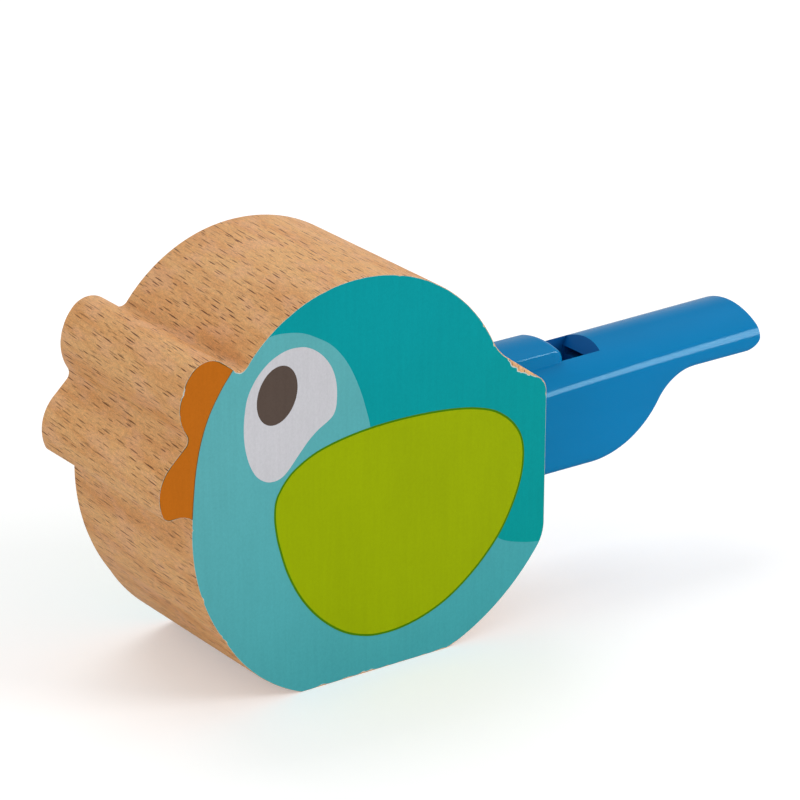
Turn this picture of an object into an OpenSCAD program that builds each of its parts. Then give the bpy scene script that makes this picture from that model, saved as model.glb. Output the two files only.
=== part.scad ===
// Bird call: a beech bird with a slide whistle for a tail.
// The bird stands on its flat belly, with its beak toward -X. The whistle slides out along +X over a fixed
// piston, so its air column grows and the note drops. Millimetres, +Z up, origin on the resting face.

/* [Bird] */
// Length of the bird from the tip of the beak to the end of the tail
bird_l = 68.5; // [64:0.5:76]
// Height of the bird from its flat belly to the top of its head
bird_h = 62.6; // [58:0.2:70]
// Thickness of the beech block
bird_t = 32; // [24:1:40]

/* [Slide tube] */
// Outer diameter of the tube that slides in the bird
tube_d = 12; // [11:0.1:12.8]
// Wall of the slide tube
tube_wall = 1.2; // [0.8:0.1:1.6]
// Length of slide tube inside the bird when the whistle is pushed in
tube_in_l = 28.8; // [27:0.2:32]
// Length of slide tube that is held in the whistle's socket
socket_l = 7; // [5:0.2:8]
// How far the whistle slides out
travel = 20; // [10:0.5:21]
// Play all round between the slide tube and its sleeve, and between rod and bush
run_gap = 0.08; // [0.04:0.01:0.1]
// Space between the whistle's shoulder and the tail when it is pushed in
seat_gap = 0.3; // [0.1:0.05:0.6]

/* [Sleeve] */
// Wall of the sleeve that lines the bore in the wood
sleeve_wall = 1.4; // [1:0.1:1.8]
// Thickness of the sleeve's closed end
sleeve_floor = 2; // [1.2:0.1:3]
// Free space behind the slide tube when it is pushed in
sleeve_spare = 3; // [2.6:0.1:6]
// Space for glue around a part that is fixed in a hole
glue_gap = 0.03; // [0.01:0.01:0.06]

/* [Piston] */
// Diameter of the piston rod
rod_d = 3; // [2.6:0.1:3.6]
// Length of the rod's end that is screwed into the wood
rod_grip_l = 9; // [6:0.5:12]
// Diameter of the two collars on the rod
collar_d = 5.4; // [4.6:0.1:6]
// Thickness of each collar
collar_t = 1; // [0.8:0.1:1.3]
// Length of the piston
piston_l = 5; // [4.4:0.1:6]
// Play all round between the piston and the slide tube
piston_gap = 0.09; // [0.06:0.01:0.1]
// Cross-section diameter of the sealing ring
ring_d = 1.5; // [1.2:0.1:1.7]
// Play all round between the sealing ring and the slide tube
ring_gap = 0.02; // [0.01:0.01:0.04]
// Diameter of the piston screw's shank
screw_d = 1.6; // [1.2:0.1:1.8]
// Length of the piston screw's shank
screw_l = 6; // [4:0.5:8]
// Diameter of the piston screw's head
screw_head_d = 4.2; // [3.6:0.1:5]
// Height of the piston screw's head
screw_head_h = 1.4; // [1:0.1:1.8]

/* [Guide bush] */
// Length of the bush inside the slide tube
bush_l = 4; // [3:0.2:5]
// Thickness of the bush's flange
bush_flange_t = 1.2; // [0.8:0.1:1.6]

/* [Whistle] */
// Length of the whistle from its shoulder to the mouth end
whistle_l = 48.6; // [46:0.1:54]
// Width of the whistle
whistle_w = 16; // [15.4:0.1:18]
// Height of the whistle's crown above the tube's axis, at the mouth end
crown_rise = 9.4; // [8.8:0.1:10.4]
// How much lower the crown is at the bird
crown_fall = 0.3; // [0:0.1:0.6]
// Depth of the whistle's underside below the tube's axis
belly_drop = 8.5; // [8:0.1:9.5]
// Radius of the arched top at the mouth end
arch_r = 12.8; // [10.4:0.1:14.4]
// How much the arched top's radius at the bird is over half the whistle's width
arch_spare = 0.5; // [0.3:0.1:2]
// Radius of the edge between the arched top and the sides
brow_r = 2.2; // [1:0.1:3]
// Radius of the lower long edges
hem_r = 1.5; // [0.8:0.1:2.2]
// Length of the flat underside next to the bird
belly_l = 15.5; // [14:0.1:18]
// Height of the mouthpiece
mouth_h = 6.3; // [6:0.1:7.4]
// Length of the straight, thin mouthpiece
mouth_l = 12.6; // [11:0.1:15]
// Radius of the lower corner at the mouth end
lip_low_r = 1.9; // [1:0.1:3]
// Radius of the upper corner at the mouth end
lip_top_r = 0.4; // [0.3:0.1:0.9]

/* [Voicing] */
// Distance of the window's sounding edge from the whistle's shoulder
window_x = 12.1; // [10.6:0.1:13]
// Length of the window along the whistle, at its top
window_l = 7.8; // [6:0.1:9]
// How far the window's end wall leans toward the bird
window_lean = 1.5; // [0.6:0.1:2]
// Width of the window and of the slot that holds the cap
window_w = 8.2; // [7.8:0.1:8.6]
// Width of the cap's head
cap_w = 8.8; // [8.7:0.1:9.6]
// Height of the cap above the whistle's crown
cap_rise = 1.2; // [0.8:0.1:2]
// Depth of the cap's seat in the arched top
cap_sink = 0.5; // [0.3:0.1:0.8]
// Radius of the cap's arched top
cap_arch_r = 16; // [12:0.5:20]
// Radius of the cap's long upper edges
cap_edge_r = 0.9; // [0.5:0.1:1.2]
// Radius of the cap's upper edge at the window
cap_front_r = 1; // [0.4:0.1:1.2]
// Height of the sounding edge above the tube's axis
edge_rise = 6.3; // [5.9:0.1:6.8]
// Length of the undercut behind the sounding edge
undercut_l = 3.4; // [2:0.1:4]
// Width of the windway
windway_w = 7.2; // [6.6:0.1:7.6]
// Height of the windway where the air comes out
windway_out_h = 1.4; // [1:0.1:1.8]
// Height of the windway at the mouth end
windway_in_h = 2; // [1.4:0.1:2.2]
// Thickness of the windway block at the mouth end
block_t = 0.9; // [0.7:0.05:1.1]

/* [Hidden] */
$fn = 96;

// Overrun of cuts past the faces that they cut
over = 0.4;
// Largest distance between an arc and the chords that follow it
arc_sag = 0.008;
// Bulge of an arc is its rise over half its chord, and this is a quarter circle's
QUARTER = tan(90 / 4);

// Height of the bore above the resting face, as a share of the bird's height
bore_z_share = 0.44;
// End of the tail, as a share of the bird's length
tail_x_share = 0.498;
// The bird's outline, anticlockwise from the front of its flat belly. Each row holds a corner as shares of the
// length and of the height, and the bulge of the arc from there to the next corner, below zero where it is hollow.
bird_shares = [
    [-0.152, 0, 0], [0.238, 0, 0.149],
    [0.482, 0.203, 0.157], [tail_x_share, 0.264, 0],
    [tail_x_share, 0.601, 0.24], [0.480, 0.639, 0],
    [0.394, 0.708, -0.125], [0.352, 0.759, 0.289],
    [-0.003, 1, 0.225], [-0.2825, 0.856, -0.407],
    [-0.312, 0.850, 0], [-0.346, 0.879, 0.394],
    [-0.423, 0.867, 0.331], [-0.436, 0.725, -0.354],
    [-0.438, 0.697, 0], [-0.467, 0.667, 0.327],
    [-0.497, 0.543, 0.314], [-0.477, 0.526, 0],
    [-0.4555, 0.527, -0.154], [-0.4235, 0.513, 0.178],
    [-0.342, 0.180, 0.1665]
];

bore_z = bore_z_share * bird_h;
tail_x = tail_x_share * bird_l;

tube_r = tube_d / 2;
air_r = tube_r - tube_wall;
sleeve_in_r = tube_r + run_gap;
sleeve_r = sleeve_in_r + sleeve_wall;
rod_r = rod_d / 2;

shoulder_x = tail_x + seat_gap;
tube_end_x = tail_x - tube_in_l;
bush_end_x = tube_end_x + bush_l;
sleeve_floor_x = tube_end_x - bush_flange_t - sleeve_spare;
sleeve_end_x = sleeve_floor_x - sleeve_floor;
rod_start_x = sleeve_end_x - rod_grip_l;
collar_x = bush_end_x + travel + seat_gap;
piston_x = collar_x + collar_t;
piston_end_x = piston_x + piston_l;

ring_r = air_r - ring_gap - ring_d / 2;
groove_r = air_r - ring_gap - ring_d - glue_gap;

// Where the underside's curve turns from round to hollow, as shares of its length and height
turn_x_share = 0.63;
turn_z_share = 0.633;
// Bulges of the curve's round part and of its hollow part
round_bulge = 0.264;
hollow_bulge = -0.245;
// Steps of the flat underside, of a brow and of the arched top
belly_steps = 4;
brow_steps = 7;
arch_steps = 24;

curve_l = whistle_l - belly_l - mouth_l;
curve_h = crown_rise - mouth_h + belly_drop;
mouth_z = crown_rise - mouth_h;

half_w = whistle_w / 2;
crown_in_z = crown_rise - crown_fall;
arch_in_r = half_w + arch_spare;

cap_half = cap_w / 2;
cap_seat_z = crown_in_z - arch_in_r + sqrt(pow(arch_in_r, 2) - pow(cap_half, 2)) - cap_sink;
cap_top_z = crown_rise + cap_rise;
cap_arch_z = cap_top_z - cap_arch_r;
cap_edge_z = cap_arch_z + sqrt(pow(cap_arch_r - cap_edge_r, 2) - pow(cap_half - cap_edge_r, 2));
cap_edge_a = atan2(cap_edge_z - cap_arch_z, cap_half - cap_edge_r);
cap_edge_y = cap_arch_r * cos(cap_edge_a);
cap_edge_top_z = cap_arch_z + cap_arch_r * sin(cap_edge_a);

windway_top_z = edge_rise + windway_out_h / 2;
block_z = windway_top_z - windway_in_h - block_t;
window_end_x = window_x + window_l;
slot_end_x = window_end_x - window_lean;

// Points of the arc from p to just before q, on the right of that way for a bulge above zero
function arc_points(p, q, bulge) =
    bulge == 0 ? [p] :
    let (
        half = norm(q - p) / 2,
        radius = half * (1 + bulge * bulge) / (2 * abs(bulge)),
        turn = 4 * atan(bulge),
        steps = ceil(abs(turn) / (2 * acos(1 - arc_sag / radius))),
        along = (q - p) / (2 * half),
        inward = [-along[1], along[0]],
        centre = (p + q) / 2 + inward * (radius - half * abs(bulge)) * sign(bulge),
        arm = p - centre
    )
    [for (i = [0:steps - 1]) let (a = turn * i / steps)
        centre + [arm[0] * cos(a) - arm[1] * sin(a), arm[0] * sin(a) + arm[1] * cos(a)]];

// A closed outline of lines and arcs. Each row of corners is [x, y, bulge of the arc to the next corner].
module arc_outline(corners) {
    last = len(corners) - 1;
    ends = [for (corner = corners) [corner[0], corner[1]]];
    polygon([
        for (i = [0:last])
            each arc_points(ends[i], ends[i == last ? 0 : i + 1], corners[i][2])
    ]);
}

// A side view, drawn in X and Z, as a slab of the given width across Y
module side_slab(width) {
    translate([0, width / 2, 0])
        rotate([90, 0, 0])
            linear_extrude(width)
                children();
}

// A cross-section, drawn in Y and Z, drawn out along X from x to x + length
module along_x(x, length) {
    translate([x, 0, 0])
        rotate([90, 0, 90])
            linear_extrude(length)
                children();
}

// A solid lofted along X through cross-sections that have as many points each. Each section is its x and its
// points in Y and Z, anticlockwise as seen from +X.
module lofted(sections) {
    row = len(sections[0][1]);
    end = len(sections) - 1;
    polyhedron(
        points = [for (section = sections) for (at = section[1]) [section[0], at[0], at[1]]],
        faces = concat(
            [[for (j = [0:row - 1]) j]],
            [[for (j = [row - 1:-1:0]) end * row + j]],
            [for (i = [0:end - 1]) for (j = [0:row - 1]) let (k = (j + 1) % row)
                each [[(i + 1) * row + j, (i + 1) * row + k, i * row + k], [(i + 1) * row + j, i * row + k, i * row + j]]]
        )
    );
}

// A round bar or hole on the bore's axis, from x to x + length
module bar(x, length, radius) {
    translate([x, 0, bore_z])
        rotate([0, 90, 0])
            cylinder(h = length, r = radius);
}

// Side view that rounds the whistle's two corners at the mouth end. It runs past the whistle everywhere else.
module lips_side() {
    arc_outline([
        [-over, -belly_drop - over, 0],
        [whistle_l - mouth_l, -belly_drop - over, 0],
        [whistle_l - lip_low_r, mouth_z, QUARTER],
        [whistle_l, mouth_z + lip_low_r, 0],
        [whistle_l, crown_rise - lip_top_r, QUARTER],
        [whistle_l - lip_top_r, crown_rise, 0],
        [whistle_l - lip_low_r, crown_rise + over, 0],
        [-over, crown_rise + over, 0]
    ]);
}

// Cross-section of the cap, whose head sits in the whistle's top and whose narrower tongue fills the slot
module cap_section() {
    tongue_half = window_w / 2 - glue_gap;
    head_z = cap_seat_z + glue_gap;
    arc_outline([
        [-tongue_half, 0, 0],
        [tongue_half, 0, 0],
        [tongue_half, head_z, 0],
        [cap_half, head_z, 0],
        [cap_half, cap_edge_z, tan(cap_edge_a / 4)],
        [cap_edge_y, cap_edge_top_z, tan((90 - cap_edge_a) / 2)],
        [-cap_edge_y, cap_edge_top_z, tan(cap_edge_a / 4)],
        [-cap_half, cap_edge_z, 0],
        [-cap_half, head_z, 0],
        [-tongue_half, head_z, 0]
    ]);
}

// Arched top of the whistle's cross-section at x, from the near side's brow round to the far side's. Its radius
// grows from the bird to the mouth end.
function arched_top(x) =
    let (
        share = x / whistle_l,
        radius = arch_in_r + (arch_r - arch_in_r) * share,
        centre_z = crown_in_z + crown_fall * share - radius,
        inner = half_w - brow_r,
        brow_z = centre_z + sqrt(pow(radius - brow_r, 2) - pow(inner, 2)),
        turn = atan2(brow_z - centre_z, inner)
    )
    concat(
        [for (i = [0:brow_steps - 1]) let (a = turn * i / brow_steps)
            [inner + brow_r * cos(a), brow_z + brow_r * sin(a)]],
        [for (i = [0:arch_steps]) let (a = turn + (180 - 2 * turn) * i / arch_steps)
            [radius * cos(a), centre_z + radius * sin(a)]],
        [for (i = [1:brow_steps]) let (a = 180 - turn + turn * i / brow_steps)
            [brow_r * cos(a) - inner, brow_z + brow_r * sin(a)]]
    );

// The whistle's outer form, without its holes
module whistle_form() {
    turn = [belly_l + curve_l * turn_x_share, -belly_drop + curve_h * turn_z_share];
    underside = concat(
        [for (i = [0:belly_steps - 1]) [belly_l * i / belly_steps, -belly_drop]],
        arc_points([belly_l, -belly_drop], turn, round_bulge),
        arc_points(turn, [whistle_l - mouth_l, mouth_z], hollow_bulge),
        [[whistle_l - mouth_l, mouth_z], [whistle_l - mouth_l / 2, mouth_z], [whistle_l + over, mouth_z]]
    );
    hems = concat(
        arc_points([-half_w, hem_r], [-half_w + hem_r, 0], QUARTER),
        [[-half_w + hem_r, 0]],
        arc_points([half_w - hem_r, 0], [half_w, hem_r], QUARTER),
        [[half_w, hem_r]]
    );
    translate([shoulder_x, 0, bore_z])
        intersection() {
            lofted([for (at = underside)
                [at[0], concat([for (hem = hems) hem + [0, at[1]]], arched_top(at[0]))]]);
            side_slab(whistle_w + 2 * over)
                lips_side();
        }
}

// Side view of the space for the windway and its block, from the window to past the mouth end
module windway_side() {
    polygon([
        [slot_end_x - over, block_z],
        [whistle_l + over, block_z],
        [whistle_l + over, windway_top_z],
        [slot_end_x - over, windway_top_z]
    ]);
}

// Side view of the windway block, whose sloping top is the windway's floor
module block_side() {
    polygon([
        [slot_end_x, block_z + glue_gap],
        [whistle_l + over, block_z + glue_gap],
        [whistle_l + over, windway_top_z - windway_in_h],
        [slot_end_x, windway_top_z - windway_out_h]
    ]);
}

// Side view of the slot that holds the cap and of the window behind it, whose end wall leans toward the bird
module slot_side() {
    polygon([
        [-over, 0],
        [slot_end_x, 0],
        [slot_end_x, windway_top_z],
        [window_end_x, crown_rise],
        [window_end_x, crown_rise + over],
        [-over, crown_rise + over]
    ]);
}

// Side view of the cap, with its upper edge at the window rounded
module cap_side() {
    arc_outline([
        [0, 0, 0],
        [window_x, 0, 0],
        [window_x, cap_top_z - cap_front_r, QUARTER],
        [window_x - cap_front_r, cap_top_z, 0],
        [0, cap_top_z, 0]
    ]);
}

// Side view of the hollow under the sounding edge
module undercut_side() {
    polygon([
        [window_x + over, 0],
        [window_x + over, edge_rise],
        [window_x, edge_rise],
        [window_x - undercut_l, air_r],
        [window_x - undercut_l, 0]
    ]);
}

module wood_body() {
    outline = [for (corner = bird_shares) [corner[0] * bird_l, corner[1] * bird_h, corner[2]]];
    color([0.86, 0.70, 0.50])
        difference() {
            side_slab(bird_t)
                arc_outline(outline);
            bar(sleeve_end_x - glue_gap, tail_x - sleeve_end_x + glue_gap + over, sleeve_r + glue_gap);
            bar(rod_start_x - glue_gap, rod_grip_l + glue_gap, rod_r + glue_gap);
        }
}

module bore_sleeve() {
    color([0.90, 0.90, 0.88])
        difference() {
            bar(sleeve_end_x, tail_x - sleeve_end_x, sleeve_r);
            bar(sleeve_floor_x, tail_x - sleeve_floor_x + over, sleeve_in_r);
            bar(sleeve_end_x - over, sleeve_floor + 2 * over, rod_r + glue_gap);
        }
}

module piston_rod() {
    color([0.78, 0.79, 0.80])
        difference() {
            union() {
                bar(rod_start_x, piston_end_x - rod_start_x, rod_r);
                bar(sleeve_floor_x, collar_t, collar_d / 2);
                bar(collar_x, collar_t, collar_d / 2);
            }
            bar(piston_end_x - screw_l - glue_gap, screw_l + glue_gap + over, screw_d / 2 + glue_gap);
        }
}

module piston_head() {
    color([0.92, 0.92, 0.90])
        difference() {
            bar(piston_x, piston_l, air_r - piston_gap);
            bar(piston_x - over, piston_l + 2 * over, rod_r + glue_gap);
            difference() {
                bar(piston_x + (piston_l - ring_d) / 2 - glue_gap, ring_d + 2 * glue_gap, air_r);
                bar(piston_x, piston_l, groove_r);
            }
        }
}

module piston_ring() {
    color([0.10, 0.10, 0.11])
        translate([piston_x + piston_l / 2, 0, bore_z])
            rotate([0, 90, 0])
                rotate_extrude()
                    translate([ring_r, 0])
                        circle(r = ring_d / 2);
}

module piston_screw() {
    color([0.80, 0.80, 0.80])
        difference() {
            union() {
                bar(piston_end_x - screw_l, screw_l + screw_head_h, screw_d / 2);
                bar(piston_end_x, screw_head_h, screw_head_d / 2);
            }
            translate([piston_end_x + screw_head_h / 2, -screw_head_d, bore_z - screw_d / 4])
                cube([screw_head_h, 2 * screw_head_d, screw_d / 2]);
        }
}

module slide_tube() {
    tube_l = tube_in_l + seat_gap + socket_l;
    color([0.05, 0.50, 0.75])
        difference() {
            bar(tube_end_x, tube_l, tube_r);
            bar(tube_end_x - over, tube_l + 2 * over, air_r);
        }
}

module guide_bush() {
    color([0.92, 0.92, 0.90])
        difference() {
            union() {
                bar(tube_end_x - bush_flange_t, bush_flange_t, tube_r);
                bar(tube_end_x - bush_flange_t, bush_flange_t + bush_l, air_r - glue_gap);
            }
            bar(tube_end_x - bush_flange_t - over, bush_flange_t + bush_l + 2 * over, rod_r + run_gap);
        }
}

module whistle_shell() {
    color([0.02, 0.47, 0.73])
        difference() {
            whistle_form();
            bar(shoulder_x - over, socket_l + over + glue_gap, tube_r + glue_gap);
            bar(shoulder_x, slot_end_x, air_r);
            translate([shoulder_x, 0, bore_z]) {
                side_slab(window_w)
                    slot_side();
                side_slab(windway_w)
                    windway_side();
            }
            translate([shoulder_x - over, -cap_half - glue_gap, bore_z + cap_seat_z])
                cube([window_x + glue_gap + over, cap_w + 2 * glue_gap, crown_rise + over]);
        }
}

module windway_block() {
    color([0.02, 0.42, 0.66])
        translate([shoulder_x, 0, bore_z])
            side_slab(windway_w - 2 * glue_gap)
                intersection() {
                    block_side();
                    lips_side();
                }
}

module voicing_cap() {
    color([0.02, 0.50, 0.77])
        difference() {
            translate([0, 0, bore_z])
                intersection() {
                    along_x(shoulder_x, window_x)
                        cap_section();
                    translate([shoulder_x, 0, 0])
                        side_slab(cap_w + 2 * over)
                            cap_side();
                }
            bar(shoulder_x - over, socket_l + over + glue_gap, tube_r + glue_gap);
            bar(shoulder_x, slot_end_x, air_r);
            translate([shoulder_x, 0, bore_z])
                side_slab(window_w)
                    undercut_side();
        }
}

wood_body();
bore_sleeve();
piston_rod();
piston_head();
piston_ring();
piston_screw();
slide_tube();
guide_bush();
whistle_shell();
windway_block();
voicing_cap();
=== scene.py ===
"""Dresses the packed bird call: beech block, printed faces, blue whistle, and a plain studio."""
import math

import bmesh
import bpy
import numpy as np
from bpy.props import FloatProperty, FloatVectorProperty, PointerProperty
from bpy.types import Operator, Panel, PropertyGroup
from mathutils import Color, Matrix, Vector, noise
from mathutils.geometry import delaunay_2d_cdt


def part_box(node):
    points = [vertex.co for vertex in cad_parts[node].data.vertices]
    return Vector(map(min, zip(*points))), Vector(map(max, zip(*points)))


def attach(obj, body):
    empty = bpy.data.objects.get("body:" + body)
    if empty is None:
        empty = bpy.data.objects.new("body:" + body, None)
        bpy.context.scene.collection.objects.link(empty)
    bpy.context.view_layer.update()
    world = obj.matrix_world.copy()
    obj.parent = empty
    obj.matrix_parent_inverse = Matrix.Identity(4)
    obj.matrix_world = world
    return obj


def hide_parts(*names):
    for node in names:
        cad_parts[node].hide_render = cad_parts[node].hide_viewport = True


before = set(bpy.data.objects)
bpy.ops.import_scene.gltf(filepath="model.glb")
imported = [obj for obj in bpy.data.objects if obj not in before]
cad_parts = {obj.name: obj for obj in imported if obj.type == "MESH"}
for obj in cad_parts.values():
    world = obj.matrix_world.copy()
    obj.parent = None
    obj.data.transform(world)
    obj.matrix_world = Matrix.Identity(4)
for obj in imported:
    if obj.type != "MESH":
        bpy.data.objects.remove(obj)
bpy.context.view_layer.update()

bl_info = {
    "name": "Bird call",
    "version": (1, 0, 0),
    "blender": (4, 5, 0),
    "location": "View3D > Sidebar > Bird call",
    "description": "Builds the looks of a beech bird call with a sliding whistle",
    "category": "Object",
}

# Lengths in this file are metres, except on the flat drawings of the faces, which are in millimetres
MM = 0.001

# End of the tail as a share of the bird's length, as in the part's source
TAIL_SHARE = 0.498
# The bird's outline, anticlockwise from the front of its flat belly, as in the part's source. Each row is a
# corner as shares of the length and of the height, and the bulge of the arc to the next corner.
BIRD_SHARES = (
    (-0.152, 0, 0), (0.238, 0, 0.149),
    (0.482, 0.203, 0.157), (TAIL_SHARE, 0.264, 0),
    (TAIL_SHARE, 0.601, 0.24), (0.480, 0.639, 0),
    (0.394, 0.708, -0.125), (0.352, 0.759, 0.289),
    (-0.003, 1, 0.225), (-0.2825, 0.856, -0.407),
    (-0.312, 0.850, 0), (-0.346, 0.879, 0.394),
    (-0.423, 0.867, 0.331), (-0.436, 0.725, -0.354),
    (-0.438, 0.697, 0), (-0.467, 0.667, 0.327),
    (-0.497, 0.543, 0.314), (-0.477, 0.526, 0),
    (-0.4555, 0.527, -0.154), (-0.4235, 0.513, 0.178),
    (-0.342, 0.180, 0.1665),
)

# The printed shapes, in millimetres on the face, drawn as smooth curves through these points
BEAK_LINE = (
    (-20.6, 55.2), (-22.0, 53.35), (-24.0, 50.8), (-26.0, 47.5), (-27.4, 43.9), (-28.3, 40.0), (-28.8, 36.0),
    (-29.1, 32.2), (-29.2, 30.0),
)
HEAD_LINE = (
    (-20.0, 54.9), (-17.6, 56.5), (-15.0, 57.1), (-12.5, 56.95), (-9.9, 56.35), (-7.4, 55.1), (-5.0, 53.5),
    (-2.85, 51.1), (-1.2, 48.3), (0.15, 45.1), (1.1, 42.1), (1.85, 39.2), (3.0, 33.0),
)
TAIL_LINE = ((22.0, 19.5), (25.2, 16.0), (27.2, 14.8), (30.4, 13.8), (33.0, 13.3), (36.0, 13.0))
EYE_WHITE = (
    (-20.15, 43.5), (-20.0, 46.0), (-19.5, 48.5), (-18.4, 50.6), (-16.9, 52.3), (-15.0, 53.6), (-12.8, 54.35),
    (-10.9, 54.4), (-9.2, 54.05), (-7.4, 53.0), (-5.9, 51.5), (-4.8, 49.7), (-4.2, 47.7), (-4.05, 45.8),
    (-4.2, 43.9), (-4.7, 42.7), (-5.7, 41.9), (-7.4, 40.95), (-9.1, 39.6), (-10.9, 37.7), (-12.5, 35.95),
    (-13.7, 35.05), (-15.1, 34.75), (-16.6, 35.1), (-18.1, 36.3), (-19.2, 38.3), (-19.9, 40.8),
)
WING = (
    (-15.1, 29.8), (-14.85, 31.6), (-14.1, 33.1), (-12.9, 34.6), (-11.4, 35.85), (-8.5, 37.35), (-5.0, 38.35),
    (0.0, 39.1), (6.0, 39.4), (13.0, 39.15), (19.0, 38.4), (23.5, 37.15), (26.3, 35.55), (28.4, 33.5),
    (29.7, 31.1), (30.1, 28.3), (29.7, 24.8), (28.4, 21.1), (26.3, 17.2), (23.5, 13.8), (20.0, 10.7),
    (16.0, 8.1), (12.0, 6.5), (8.0, 5.65), (4.5, 5.5), (1.0, 6.0), (-3.0, 7.65), (-7.0, 10.75),
    (-10.3, 14.7), (-12.8, 19.4), (-14.4, 24.4), (-15.0, 27.6),
)
PUPIL_CENTRE = (-14.4, 47.85)
PUPIL_RADII = (3.4, 4.5)
PUPIL_LEAN = 17.0

# The whistle is drawn in millimetres along from its shoulder and up from the bore's axis, after the
# part's source. CROWN, ARCH_RADIUS and BROW_RADIUS hold the value at the shoulder and the one at the mouth.
WHISTLE_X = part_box("whistle_shell")[0].x
BORE_Z = (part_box("slide_tube")[0].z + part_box("slide_tube")[1].z) / 2
WHISTLE_LENGTH = (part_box("whistle_shell")[1].x - WHISTLE_X) / MM
WHISTLE_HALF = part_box("whistle_shell")[1].y / MM
CROWN = (9.1, 9.4)
ARCH_RADIUS = (9.3, 12.8)
BROW_RADIUS = (1.5, 2.5)
HEM_RADIUS = 1.5
HEM_SHARE = 0.66
BELLY = (15.5, -8.5)
MOUTH_START = (36.0, 3.1)
TURN_SHARES = (0.63, 0.633)
UNDERSIDE_BULGES = (0.264, -0.245)
AIR_RADIUS = 4.8
WINDOW_START = 12.1
WINDOW_END = 19.9
WINDOW_FOOT = 18.4
WINDOW_WIDTH = 8.2
WINDWAY_TOP = 7.0
WINDWAY_FOOT = 4.1
WINDWAY_WIDTH = 7.2
CAP_HALF = 4.4
CAP_SEAT = 7.37
CAP_OVERLAP = 0.3
CAP_SHOULDER = (0.3, 1.0)
CAP_NARROWING = 0.35
TONGUE_FOOT = 2.6
TONGUE_GAP = 0.06
UNDERCUT = ((8.7, 4.8), (12.1, 6.3))
BORE_GAP = 0.03
CUT_OVER = 0.5
SHARP_ANGLE = math.radians(28)

# The outline's steps on the block and on the print, where the faces lie on the map of the grain, and how
# far the edge of the print goes into the wood
BLOCK_STEP = 0.4 * MM
PRINT_STEP = 0.25 * MM
FACE_SHIFT = 300.0
SKIRT_DEPTH = 0.01 * MM

# How ragged the print's edge is, how far the primer shows past the other inks, in millimetres, and the
# share of a chip's width by which the block's own edge is rounder there
RAGGED_EDGE = 0.02 * MM
PRIMER_SHOWS = 0.025
CHIP_ROUNDING = 0.3

# Gloss of the wood and of the inks, where 0.5 is common plastic, and the share of the plastic's gloss that
# is left at a low angle
WOOD_GLOSS = 0.25
INK_GLOSS = 0.06
GRAZING_SHARE = 0.12

# Lamps of the studio in metres: each one's place, the point that it faces, and its width and height
KEY_SOFTBOX = ((0.63, -0.69, 0.485), (0.06, 0.0, 0.035), (0.5, 0.4))
GLOSS_CARD = ((0.65, -0.75, 0.37), (0.06, 0.0, 0.035), (1.1, 0.66))
TOP_SOFTBOX = ((0.05, 0.50, 0.95), (0.0, 0.0, 0.03), (0.7, 0.5))
FILL_SOFTBOX = ((-0.95, -0.35, 0.30), (0.0, 0.0, 0.03), (0.5, 0.35))
MOST_POWER = 200.0
FLOOR_HALF = 4

# The camera's place in metres, its azimuth, elevation and roll in degrees, and its lens in millimetres
CAMERA_PLACE = (-0.308690, -0.454647, 0.258627)
CAMERA_ANGLES = (-35.75165, 21.81557, -0.3161)
CAMERA_LENS = 180.0


def length_property(label, description, default, low, high):
    """A length that a user can change, with its default and its limits in millimetres"""
    return FloatProperty(
        name=label, description=description, default=default * MM, min=low * MM, max=high * MM,
        unit="LENGTH", precision=6)


def paint_property(label, description, default):
    """A colour that a user can change, written as a screen shows it"""
    return FloatVectorProperty(
        name=label, description=description, default=default, size=3, min=0.0, max=1.0,
        subtype="COLOR_GAMMA")


def power_property(label, description, default):
    """A lamp's power that a user can change, in watts"""
    return FloatProperty(
        name=label, description=description, default=default, min=0.0, max=MOST_POWER, unit="POWER")


class BirdCallSizes(PropertyGroup):
    """Sizes of the dressed details"""

    block_edge: length_property("Block edge", "Rounding of the block's sanded edges", 0.055, 0.02, 1.0)
    print_film: length_property("Print film", "Height of the print above the wood", 0.02, 0.005, 0.1)
    edge_wear: length_property(
        "Edge wear", "Largest width of the chips along the printed edge", 1.0, 0.0, 2.0)
    wing_line: length_property("Wing line", "Width of the dark green line round the wing", 0.34, 0.1, 1.0)
    beak_line: length_property("Beak line", "Width of the dark lines round the beak's print", 0.16, 0.05, 1.0)
    primer_line: length_property(
        "Primer line", "Width of the pale line along the print's broken edge", 0.16, 0.0, 0.5)
    fleck_length: length_property(
        "Fleck length", "Length of the longest dark flecks in the beech", 3.4, 0.5, 6.0)
    fleck_width: length_property("Fleck width", "Width of the dark flecks in the beech", 0.18, 0.05, 1.0)
    fleck_spacing: length_property(
        "Fleck spacing", "Distance between flecks across the grain", 1.05, 0.5, 5.0)
    grain_tilt: FloatProperty(
        name="Grain tilt", description="Angle of the grain to the block's thickness",
        default=math.radians(4.0), min=-0.5, max=0.5, subtype="ANGLE")
    moulded_edge: length_property("Moulded edge", "Rounding of the plastic's sharp edges", 0.16, 0.02, 0.4)
    lip_rounding: length_property("Lip rounding", "Rounding of the mouthpiece's lower edge", 2.2, 0.5, 3.0)
    cap_rise: length_property(
        "Cap rise", "Height of the cap's crown above the bore's axis", 10.98, 10.0, 12.0)
    cap_arch: length_property("Cap arch", "Radius of the cap's arched top", 15.0, 6.0, 40.0)
    cap_rounding: length_property(
        "Cap rounding", "Rounding of the cap's top towards the window", 1.9, 0.2, 3.0)


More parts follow.
